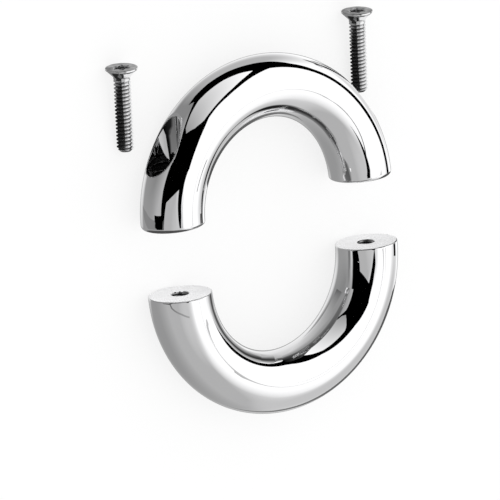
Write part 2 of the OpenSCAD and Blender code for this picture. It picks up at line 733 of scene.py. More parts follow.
# The two half rings
@dataclass
class HalfRing:
    """Half a ring of round bar, as the arch stands: cut faces down and the bar above them."""

    ring_radius: float = 11.0
    bar_radius: float = 3.0
    edge: float = 0.1
    edge_steps: int = 5
    face_steps: int = 4
    arc_steps: int = 400
    around: int = 160
    centre_y: float = 0.0
    face_reach: float = 0.01

    def mouth(self) -> list[tuple[float, float]]:
        """Radii and depths of what opens in the middle of a cut face: nothing on a plain one."""
        return [(0.0, 0.0)]

    def outline(self) -> Outline:
        """Lists the stations along the bar.

        Returns:
            The outline, from the middle of one cut face to that of the other.
        """
        half: list[tuple[float, float, float]] = [
            (radius * MM, 0.0, depth * MM) for radius, depth in self.mouth()
        ]
        first = self.mouth()[-1][0]
        last = self.bar_radius - self.edge
        gap = (last - first) / self.face_steps
        for step in range(1, self.face_steps):
            half.append(((first + gap * step) * MM, 0.0, 0.0))
        for step in range(self.edge_steps + 1):
            turn = QUARTER_TURN * step / self.edge_steps
            radius = last + self.edge * math.sin(turn)
            depth = self.edge * (1 - math.cos(turn))
            half.append((radius * MM, depth / self.ring_radius, 0.0))
        start = half[-1][1]
        made = Outline()
        for station in half:
            made.add(*station)
        for step in range(1, self.arc_steps):
            bend = start + (math.pi - 2 * start) * step / self.arc_steps
            made.add(self.bar_radius * MM, bend)
        for radius, bend, depth in reversed(half):
            made.add(radius, math.pi - bend, depth)
        return made

    def bar(self, loft: RingLoft, name: str, finish: Material) -> Mesh:
        """Lofts the bar in its own frame, with the ring's centre at the origin.

        Args:
            loft: The tree that bends it.
            name: The mesh's name.
            finish: Its finish.

        Returns:
            The bar.
        """
        return loft.make(
            name,
            self.outline(),
            steps_around=self.around,
            material=finish,
            ring_radius=self.ring_radius * MM,
        )

    def satin_ends(self, mesh: Mesh, satin: Material) -> None:
        """Gives the flat cut faces, on the plane Y = 0, their own finish.

        Args:
            mesh: The bar, changed in place.
            satin: The cut faces' finish.
        """
        mesh.materials.append(satin)
        for face in mesh.polygons:
            if abs(face.center.y) < self.face_reach * MM and abs(face.normal.y) > FLAT:
                face.material_index = 1

    def place(self, mesh: Mesh, turned: bool) -> None:
        """Lays a half in the frame, turned round so that it opens forwards if need be."""
        turn = Matrix.Rotation(math.pi if turned else 0.0, 4, "Z")
        mesh.transform(Matrix.Translation((0, self.centre_y * MM, self.bar_radius * MM)) @ turn)


@dataclass
class LowerHalf(HalfRing):
    """The lower half, with a blind tapped hole in each cut face."""

    centre_y: float = -4.0
    hole_radius: float = 0.82
    hole_depth: float = 4.0
    drill_point: float = 59.0
    lead: float = 0.08

    def mouth(self) -> list[tuple[float, float]]:
        """Lists what a blind tapped hole opens in a cut face.

        Returns:
            Radii and depths, from the hole's drill point out to its lead.
        """
        point = self.hole_radius / math.tan(math.radians(self.drill_point))
        return [
            (0.0, self.hole_depth + point),
            (self.hole_radius, self.hole_depth),
            (self.hole_radius, self.lead),
            (self.hole_radius + self.lead, 0.0),
        ]

    def build(self, loft: RingLoft, mirror: Material, satin: Material) -> Object:
        """Builds and dresses the half.

        Args:
            loft: The tree that bends the bar.
            mirror: The bar's finish.
            satin: The cut faces' finish.

        Returns:
            The half, in the frame.
        """
        mesh = self.bar(loft, "ring_lower_half", mirror)
        self.satin_ends(mesh, satin)
        self.place(mesh, turned=True)
        crease(mesh, RING_CREASE)
        return add_piece("ring_lower_half", mesh, Body.LOWER, "lower_half")


@dataclass
class Arch(HalfRing):
    """The arch, with a screw's way through each shoulder."""

    edge: float = 0.35
    edge_steps: int = 8
    centre_y: float = 2.5
    around: int = 144
    recess_radius: float = 1.77
    recess_out: float = 0.2
    seat_height: float = 5.0
    seat_radius: float = 1.53
    rim_height: float = 0.15
    through_radius: float = 0.9
    mouth_chamfer: float = 0.08
    recess_top: float = 14.0
    recess_steps: int = 90
    way_around: int = 128
    soft_least: float = 0.1
    soft_most: float = 0.19
    soft_growth: float = 0.06
    lip_height: float = 5.3
    soft_band: float = 2.4
    touch: float = 0.002
    overrun: float = 1.0
    soft_passes: int = 6
    edge_share: float = 1.2

    def turned_way(
        self,
        loft: TurnedLoft,
        finish: Material,
        stations: list[tuple[float, float]],
        axis_x: float,
    ) -> Mesh:
        """Turns a closed cutter and stands it on the cut faces' plane.

        Args:
            loft: The lathe's tree.
            finish: What the cut leaves.
            stations: Radii and heights over that plane.
            axis_x: Where its axis stands.

        Returns:
            The cutter in the half's own frame.
        """
        outline = Outline()
        for radius, height in stations:
            outline.add(radius * MM, height * MM)
        mesh = loft.make("screw_way", outline, steps_around=self.way_around, material=finish)
        stand = Matrix.Rotation(-QUARTER_TURN, 4, "X")
        mesh.transform(Matrix.Translation((axis_x * MM, 0, 0)) @ stand)
        return mesh

    def ways(self, loft: TurnedLoft, side: Side, finish: Material) -> list[Mesh]:
        """Makes the shapes that one screw's way takes out of a shoulder.

        Args:
            loft: The lathe's tree.
            side: Which shoulder.
            finish: What the cuts leave.

        Returns:
            The recess, and the clearance hole with its countersink.
        """
        cone_low = self.seat_height - self.rim_height - (self.seat_radius - self.through_radius)
        chamfer = self.mouth_chamfer
        hole = [
            (0.0, -self.overrun),
            (self.through_radius + chamfer + self.overrun, -self.overrun),
            (self.through_radius, chamfer),
            (self.through_radius, cone_low),
            (self.seat_radius, self.seat_height - self.rim_height),
            (self.seat_radius, self.seat_height + self.rim_height),
            (0.0, self.seat_height + self.rim_height),
        ]
        rise = (self.recess_top - self.seat_height) / self.recess_steps
        recess = [(0.0, self.seat_height)]
        recess += [
            (self.recess_radius, self.seat_height + rise * step)
            for step in range(self.recess_steps + 1)
        ]
        recess.append((0.0, self.recess_top))
        return [
            self.turned_way(loft, finish, stations, side.value * (self.ring_radius + out))
            for stations, out in ((recess, self.recess_out), (hole, 0.0))
        ]

    def cut(self, mesh: Mesh, ways: list[Mesh]) -> Mesh:
        """Cuts the screws' ways out of the bar.

        Args:
            mesh: The bar.
            ways: The shapes to take away.

        Returns:
            The cut bar.
        """
        bar = linked("cut_bar", mesh)
        tools = [linked("way", way) for way in ways]
        for tool in tools:
            cut = bar.modifiers.new("way", "BOOLEAN")
            cut.operation, cut.solver, cut.object = "DIFFERENCE", "MANIFOLD", tool
        made = finished_mesh(bar)
        for gone in (bar, *tools):
            bpy.data.objects.remove(gone)
        return made

    def skin(self, points: np.ndarray) -> tuple[np.ndarray, np.ndarray]:
        """Distance to the bar's skin with softened recess rims, and its outward direction.

        Args:
            points: Places in the half's own frame, in millimetres.

        Returns:
            The distances and the unit directions.
        """
        x, y, z = points.T
        ring = np.hypot(x, y)
        section = np.hypot(ring - self.ring_radius, z)
        bar = section - self.bar_radius
        spread = (ring - self.ring_radius) / section
        bar_out = np.stack([spread * x / ring, spread * y / ring, z / section], -1)
        off = x - np.sign(x) * (self.ring_radius + self.recess_out)
        away = np.maximum(np.hypot(off, z), TINY)
        wall = self.recess_radius - away
        wall_out = np.stack([-off / away, 0 * x, -z / away], -1)
        soft = self.soft_least + self.soft_growth * (y - self.lip_height)
        soft = np.clip(soft, self.soft_least, self.soft_most)
        low = y < self.seat_height - self.touch
        wall = np.where(low, -self.recess_top, wall)
        first, second = np.maximum(bar + soft, 0), np.maximum(wall + soft, 0)
        inside = np.minimum(np.maximum(bar, wall) + soft, 0)
        reach = np.hypot(first, second)
        distance = reach + inside - soft
        outward = first[:, None] * bar_out + second[:, None] * wall_out
        length = np.maximum(np.linalg.norm(outward, axis=1), TINY)
        return distance, outward / length[:, None]

    def near_rim(self, points: np.ndarray) -> np.ndarray:
        """Finds the points that lie close to a recess's rim.

        Args:
            points: Places in the half's own frame, in millimetres.

        Returns:
            Whether each one does.
        """
        x, y, z = points.T
        bar = np.hypot(np.hypot(x, y) - self.ring_radius, z) - self.bar_radius
        axis_x = self.ring_radius + self.recess_out
        wall = self.recess_radius - np.hypot(np.abs(x) - axis_x, z)
        return (np.hypot(bar, wall) < self.soft_band * self.soft_most) & (y > self.seat_height)

    def soften(self, mesh: Mesh) -> None:
        """Rounds the recesses' rims: splits the mesh there and draws it onto the soft skin.

        Args:
            mesh: The cut bar, changed in place.
        """
        work = bmesh.new()
        work.from_mesh(mesh)
        near = self.near_rim(points_of(mesh) / MM)
        work.verts.ensure_lookup_table()
        faces = [f for f in work.faces if len(f.verts) > 4 or any(near[v.index] for v in f.verts)]
        bmesh.ops.triangulate(work, faces=faces)
        edges = [e for e in work.edges if near[e.verts[0].index] and near[e.verts[1].index]]
        bmesh.ops.subdivide_edges(work, edges=edges, cuts=1)
        bmesh.ops.triangulate(work, faces=[f for f in work.faces if len(f.verts) > 4])
        work.to_mesh(mesh)
        work.free()
        points = points_of(mesh) / MM
        moved = self.near_rim(points)
        rim = points[moved]
        for _ in range(self.soft_passes):
            distance, outward = self.skin(rim)
            rim = rim - np.maximum(distance, 0)[:, None] * outward
        points[moved] = rim
        mesh.vertices.foreach_set("co", (points * MM).astype(np.float32).ravel())
        mesh.update()

    def true_normals(self, mesh: Mesh) -> None:
        """Gives the bar and the recess walls the exact normals of their skin.

        Args:
            mesh: The softened bar, changed in place.
        """
        points = points_of(mesh) / MM
        distance, outward = self.skin(points)
        on_skin = (np.abs(distance) < self.touch) & (points[:, 1] > self.edge * self.edge_share)
        corners = np.empty(len(mesh.loops), np.int32)
        mesh.loops.foreach_get("vertex_index", corners)
        normals = np.zeros((len(mesh.loops), 3))
        for face in mesh.polygons:
            span = slice(face.loop_start, face.loop_start + face.loop_total)
            around = corners[span]
            if on_skin[around].all():
                normals[span] = outward[around]
        mesh.normals_split_custom_set(normals.tolist())

    def shade_bored_seats(self, mesh: Mesh, bored_shade: Material) -> None:
        """Gives the unpolished seats and clearance holes their near-black finish: painted shade.

        Args:
            mesh: The cut bar, changed in place.
            bored_shade: Their finish.
        """
        mesh.materials.append(bored_shade)
        for face in mesh.polygons:
            x, y, z = face.center / MM
            away = math.hypot(abs(x) - self.ring_radius - self.recess_out, z)
            below_seat = abs(y) > self.touch and y < self.seat_height + self.touch
            if below_seat and away < self.recess_radius + self.touch:
                face.material_index = 2

    def build(
        self,
        loft: RingLoft,
        turned: TurnedLoft,
        mirror: Material,
        satin: Material,
        bored_shade: Material,
    ) -> Object:
        """Builds and dresses the arch.

        Args:
            loft: The tree that bends the bar.
            turned: The lathe's tree.
            mirror: The bar's finish.
            satin: The cut faces' finish.
            bored_shade: The finish of the seats and clearance holes.

        Returns:
            The arch, in the frame.
        """
        bar = self.bar(loft, "ring_arch", mirror)
        ways = [way for side in Side for way in self.ways(turned, side, mirror)]
        mesh = self.cut(bar, ways)
        mesh.name = "ring_arch"
        self.soften(mesh)
        self.satin_ends(mesh, satin)
        # Painted shade: the seats and clearance holes take the near-black finish
        self.shade_bored_seats(mesh, bored_shade)
        crease(mesh, RING_CREASE)
        self.true_normals(mesh)
        self.place(mesh, turned=False)
        return add_piece("ring_arch", mesh, Body.ARCH, "upper_half")


# Threads and screws
@dataclass
class Thread:
    """One turn of a screw thread, from crest to root and back."""

    pitch: float = 0.35
    crest_radius: float = 0.8
    root_radius: float = 0.62
    crest_share: float = 0.16
    root_share: float = 0.14
    steps: int = 12

    def radius(self, share: float) -> float:
        """Works out the thread's radius.

        Args:
            share: A share of the pitch, with 0 in the middle of a crest.

        Returns:
            The radius there.
        """
        fall = abs((share + 0.5) % 1.0 - 0.5) * 2
        depth = (fall - self.crest_share) / (1 - self.crest_share - self.root_share)
        depth = min(max(depth, 0.0), 1.0)
        return self.crest_radius + (self.root_radius - self.crest_radius) * depth

    def add_to(self, outline: Outline, top: float, bottom: float) -> None:
        """Adds the thread's stations between two heights.

        Args:
            outline: The outline to add them to.
            top: Where the thread starts.
            bottom: Where it ends.
        """
        count = math.ceil((top - bottom + self.pitch) / self.pitch * self.steps)
        for step in range(count + 1):
            share = step / self.steps
            outline.add(self.radius(share) * MM, (top - share * self.pitch) * MM, helical=1.0)


@dataclass(frozen=True)
class ScrewFinishes:
    """What a screw's thread, flat head, socket floor and socket walls are finished in."""

    # These finishes paint shade: darker thread grooves, a darker head, a near-black socket floor
    # and darker socket walls
    rolled: Material
    head: Material
    floor: Material
    socket: Material


@dataclass
class Screw:
    """A countersunk screw with a six-lobe socket, lying on its rim and its last crest."""

    side: Side
    place_x: float
    heads_y: float = 18.0
    head_z: float = 1.5075
    lean: float = 5.297
    length: float = 8.0
    head_radius: float = 1.5
    socket_radius: float = 0.85
    socket_depth: float = 0.55
    floor_dip: float = 0.12
    rim_height: float = 0.15
    thread_top: float = 1.05
    tip_radius: float = 0.5
    skin: float = 0.02
    facing: float = 0.9
    around: int = 96
    thread: Thread = field(default_factory=Thread)

    def outline(self) -> Outline:
        """Lists the screw's stations.

        Returns:
            The outline, from the middle of the socket's floor, over the head and down to the tip.
        """
        made = Outline()
        socket, depth, head = self.socket_radius, self.socket_depth, self.head_radius
        shank = self.thread.crest_radius
        cone_low = self.rim_height + head - shank
        # Radius, height and how far the station follows the socket's lobes
        turned = [
            (0.0, -depth - self.floor_dip, 0.0),
            (0.35, -depth - 0.08, 0.3),
            (socket - 0.06, -depth, 1.0),
            (socket - 0.02, -depth + 0.03, 1.0),
            (socket, -depth + 0.08, 1.0),
            (socket, -0.30, 1.0),
            (socket, -0.05, 1.0),
            (socket + 0.015, -0.02, 1.0),
            (socket + 0.05, 0.0, 1.0),
            (socket + 0.13, 0.0, 0.6),
            (socket + 0.28, 0.0, 0.1),
            (head - 0.16, 0.0, 0.0),
            (head - 0.05, 0.0, 0.0),
            (head - 0.015, -0.015, 0.0),
            (head, -0.05, 0.0),
            (head, -self.rim_height + 0.02, 0.0),
            (head - 0.01, -self.rim_height - 0.02, 0.0),
            (head - 0.2, -self.rim_height - 0.2, 0.0),
            (shank + 0.2, -cone_low + 0.2, 0.0),
            (shank + 0.04, -cone_low + 0.035, 0.0),
            (shank, -cone_low - 0.04, 0.0),
        ]
        for radius, height, lobed in turned:
            made.add(radius * MM, height * MM, lobed=lobed)
        self.thread.add_to(made, -self.thread_top, -self.length)
        made.add((self.tip_radius - 0.1) * MM, -self.length * MM)
        made.add(0.0, -self.length * MM)
        return made

    def dress(self, mesh: Mesh, finishes: ScrewFinishes) -> None:
        """Gives the flat head, the socket's floor and its walls their own finishes.

        Args:
            mesh: The screw, changed in place.
            finishes: The screws' finishes.
        """
        # Painted shade: the head, the socket's floor and its walls take darker finishes than the
        # thread
        for finish in (finishes.head, finishes.floor, finishes.socket):
            mesh.materials.append(finish)
        for face in mesh.polygons:
            x, y, height = face.center / MM
            if height < -self.socket_depth - self.floor_dip:
                continue
            if abs(face.normal.z) > self.facing:
                face.material_index = 1 if height > -self.skin else 2
            elif math.hypot(x, y) < self.socket_radius + self.skin:
                face.material_index = 3

    def build(self, loft: TurnedLoft, finishes: ScrewFinishes) -> Object:
        """Builds, dresses and lays down the screw.

        Args:
            loft: The lathe's tree.
            finishes: The screws' finishes.

        Returns:
            The screw, in the frame.
        """
        node = f"screw_{self.side.name.lower()}"
        mesh = loft.make(
            node + "_steel",
            self.outline(),
            steps_around=self.around,
            material=finishes.rolled,
            pitch=self.thread.pitch * MM,
            thread_top=-self.thread_top * MM,
            thread_bottom=-self.length * MM,
            plain_radius=self.thread.crest_radius * MM,
            tip_radius=self.tip_radius * MM,
        )
        self.dress(mesh, finishes)
        crease(mesh, THREAD_CREASE)
        lay = Matrix.Rotation(math.radians(self.lean - 90), 4, "X")
        put = Matrix.Translation(Vector((self.place_x, self.heads_y, self.head_z)) * MM)
        mesh.transform(put @ lay)
        return add_piece(node + "_steel", mesh, Body.LOWER, node)


@dataclass
class TappedThread:
    """The thread inside one of the lower half's holes, as a sleeve sunk in its wall."""

    side: Side
    half: LowerHalf
    sleeve: float = 0.08
    top: float = 0.06
    bottom: float = 3.7
    lap: float = 0.01
    run_in: float = 0.3
    run_out: float = 0.2
    around: int = 72
    thread: Thread = field(
        default_factory=lambda: Thread(crest_radius=0.81, root_radius=0.66, steps=8)
    )

    def build(self, loft: TurnedLoft, finish: Material) -> Object:
        """Builds and dresses the sleeve.

        Args:
            loft: The lathe's tree.
            finish: The sleeve's finish, darkened as painted shade inside the hole.

        Returns:
            The sleeve, in the frame.
        """
        name = f"tapped_thread_{self.side.name.lower()}"
        outer = self.half.hole_radius + self.sleeve
        shoulder = self.top + self.sleeve + self.lap
        made = Outline()
        made.add(outer * MM, -self.bottom * MM)
        made.add(outer * MM, -shoulder * MM)
        made.add((self.half.hole_radius - self.lap) * MM, -self.top * MM)
        self.thread.add_to(made, -self.top, -self.bottom)
        made.add(outer * MM, -self.bottom * MM)
        mesh = loft.make(
            name,
            made,
            steps_around=self.around,
            material=finish,
            pitch=self.thread.pitch * MM,
            thread_top=-self.top * MM,
            thread_bottom=-self.bottom * MM,
            plain_radius=self.thread.crest_radius * MM,
            run_in=self.run_in * MM,
            run_out=self.run_out * MM,
        )
        crease(mesh, THREAD_CREASE)
        stand = Matrix.Rotation(-QUARTER_TURN, 4, "X")
        where = (self.side.value * self.half.ring_radius, self.half.centre_y, self.half.bar_radius)
        mesh.transform(Matrix.Translation(Vector(where) * MM) @ stand)
        return add_piece(name, mesh, Body.LOWER)


# Studio
def blended(places: list[float], ends: tuple[float, float]) -> list[float]:
    """Returns a tone for each place across a card, blended evenly between its two ends."""
    low, wide = min(places), max(places) - min(places)
    return [ends[0] + (ends[1] - ends[0]) * (place - low) / wide for place in places]


@dataclass(frozen=True)
class Card:
    """A studio card, by the directions of its corners as the ring sees them.

    A corner is an azimuth, from +Y towards +X, and an elevation, in degrees. The tones are
    those of the card's left and right ends, in light and not as shown on a screen.
    """

    name: str
    distance: float
    corners: tuple[tuple[float, float], ...]
    tones: tuple[float, float] = (0.0, 0.0)
    step: float = 5.0
    splits: int = 6

    def build(self, middle: Vector, material: Material) -> Object:
        """Builds the card as a thin curved sheet.

        Args:
            middle: The place that the directions start from.
            material: The cards' own glow.

        Returns:
            The card, hidden from the camera.
        """
        sheet = bmesh.new()
        sheet.faces.new([sheet.verts.new((*corner, 0.0)) for corner in self.corners])
        bmesh.ops.triangulate(sheet, faces=sheet.faces[:])
        for _ in range(self.splits):
            long = [e for e in sheet.edges if e.calc_length() > self.step]
            bmesh.ops.subdivide_edges(sheet, edges=long, cuts=1)
            bmesh.ops.triangulate(sheet, faces=[f for f in sheet.faces if len(f.verts) > 3])
        tones = blended([vert.co.x for vert in sheet.verts], self.tones)
        for vert in sheet.verts:
            vert.co = middle + heading(vert.co.x, vert.co.y) * (self.distance * MM)
        made = bpy.data.meshes.new(self.name)
        sheet.to_mesh(made)
        sheet.free()
        return stage_sheet(self.name, made, tones, material, middle)


class Facing(Enum):
    """The way that the front of a small card points, in X and Y."""

    AHEAD = (0, 1)
    BACK = (0, -1)
    RIGHT = (1, 0)
    LEFT = (-1, 0)


@dataclass(frozen=True)
class SmallCard:
    """A small card that stands near the ring and shows in the steel on its front's side only.

    It is an upright sheet of rows. Each row holds its points' heights and the light of its two
    ends, which blends evenly between them. The places across it are X, or Y where the card faces
    sideways. Its back is not seen.
    """

    name: str
    facing: Facing
    plane: float
    across: tuple[float, ...]
    rows: tuple[tuple[tuple[float, ...], tuple[float, float]], ...]

    def build(self, material: Material) -> Object:
        """Builds the card and hides it from the camera.

        Args:
            material: The cards' own glow.

        Returns:
            The card.
        """
        corners, tones, faces = [], [], []
        count = len(self.across)
        for row, (heights, ends) in enumerate(self.rows):
            for place, z in zip(self.across, heights):
                flat = (place, self.plane)
                x, y = flat if self.facing.value[1] else reversed(flat)
                corners.append((x, y, z))
            tones += blended(self.across, ends)
            if row:
                left = range(row * count, (row + 1) * count - 1)
                faces += [(k - count, k - count + 1, k + 1, k) for k in left]
        made = plain_mesh(self.name, corners, faces)
        return stage_sheet(self.name, made, tones, material, Vector((*self.facing.value, 0)))


def rim_card(
    name: str, plane: float, middle: tuple[float, float], reach: tuple[float, float], tone: float
) -> SmallCard:
    """A round dark card that gives the arch's cut ends their thin outlines.

    Args:
        name: The card's name.
        plane: The Y that it stands at.
        middle: Its middle's X and Z.
        reach: Half its width and height.
        tone: Its light.

    Returns:
        The card.
    """
    steps = 12
    turns = [math.pi * step / steps for step in range(steps + 1)]
    across = tuple(middle[0] - reach[0] * math.cos(turn) for turn in turns)
    rise = [reach[1] * math.sin(turn) for turn in turns]
    rows = tuple(
        (tuple(middle[1] + side * up for up in rise), (tone, tone)) for side in (1, -1)
    )
    return SmallCard(name, Facing.AHEAD, plane, across, rows)


@dataclass(frozen=True)
class ScrewFlag:
    """A dark or bright trough along one side of a lying screw, which its steel mirrors."""

    name: str
    middle_x: float
    start: float
    end: float
    tone: float
    front_tone: float
    height: float = 1.1
    radius: float = 1.9
    steps: int = 16
    back: float = 9.9
    shade_end: tuple[float, float] = (16.8, 15.2)
    front: float = 17.9

    def build(self, material: Material) -> Object:
        """Builds the trough and hides it from the camera.

        Args:
            material: The cards' own glow.

        Returns:
            The trough.
        """
        corners, tones, faces = [], [], []
        for step in range(self.steps + 1):
            share = step / self.steps
            turn = math.radians(self.start + (self.end - self.start) * share)
            x = self.middle_x + self.radius * math.sin(turn)
            z = self.height + self.radius * math.cos(turn)
            edge = self.shade_end[0] + (self.shade_end[1] - self.shade_end[0]) * share
            corners += [(x, y, z) for y in (self.back, edge, edge, self.front)]
            tones += [self.tone, self.tone, self.front_tone, self.front_tone]
            if step:
                now = 4 * step
                faces += [(k - 4, k - 3, k + 1, k) for k in (now, now + 2)]
        made = plain_mesh(self.name, corners, faces)
        middle = Vector((self.middle_x, (self.front + self.back) / 2, self.height)) * MM
        return stage_sheet(self.name, made, tones, material, middle)


def stage_sheet(
    name: str, mesh: Mesh, tones: list[float], material: Material, middle: Vector
) -> Object:
    """Puts a glowing sheet on the stage that only mirrored rays see, and only from its front.

    Args:
        name: The sheet's name.
        mesh: Its mesh, in place.
        tones: The light of each vertex.
        material: The sheets' own glow.
        middle: What its front faces.

    Returns:
        The sheet.
    """
    for face in mesh.polygons:
        if face.normal.dot(face.center - middle) > 0:
            face.flip()
    mesh.update()
    mesh.attributes.new("tone", "FLOAT", "POINT").data.foreach_set("value", tones)
    mesh.materials.append(material)
    sheet = linked(name, mesh)
    for ray in ("camera", "diffuse", "transmission", "volume_scatter", "shadow"):
        setattr(sheet, "visible_" + ray, False)
    return sheet


# The cards
CARDS = (
    Card(
        "black_surround", 1300,
        ((-84, 31), (-81, 50), (-78, 70), (-110, 72), (-150, 73), (-150, 80), (-100, 84.5),
         (8, 86), (-1, 72), (-3, 57), (5, 51), (14, 47), (20, 41), (27, 29), (36, 16), (60, 16),
         (88, 14), (97, 10), (107, 8), (107, -6), (97, -4), (88, 0), (75, 4), (60, 6), (48, 2),
         (38, -8), (26, -17), (16, -27), (4, -33), (-8, -33), (-17, -28), (-15, -18), (-30, 5),
         (-40, 20), (-46, 22), (-55, 24), (-63, 20), (-76, 15), (-92, 13), (-92, -12),
         (-101, -12), (-104, 8), (-104, 19), (-95, 25)),
    ),
    Card(
        "overhead_panel", 1200,
        ((-12, 51), (-3, 47), (6, 41), (13, 35), (20, 22), (25, 11), (16, 2), (6, -5),
         (-6, -8), (-14, -8), (-24, 2), (-33, 16), (-35, 27), (-26, 42), (-17, 49)),
        (0.33, 1.15),
    ),
    Card(
        "seam_low", 1200,
        ((106.4, 38), (109.6, 45), (112.4, 49.1), (111.6, 49.3), (108.6, 45), (105.6, 38)),
        (0.6, 0.55),
    ),
    Card(
        "seam_high", 1200,
        ((112.4, 49.1), (114.3, 51.4), (118, 51.95), (123.5, 52.9),
         (123.5, 53.6), (117.5, 52.5), (113.6, 51.7), (111.9, 49.2)),
        (0.7, 0.45),
    ),
    Card(
        "table_edge", 1200,
        ((113, -49), (112.5, -30), (113.5, -14), (117, -9), (121, -11), (128, -15), (139, -17),
         (151, -20), (160, -29), (163, -39), (154, -33), (143, -31), (134, -34), (126, -40),
         (119, -47)),
        (0.08, 0.25),
    ),
)
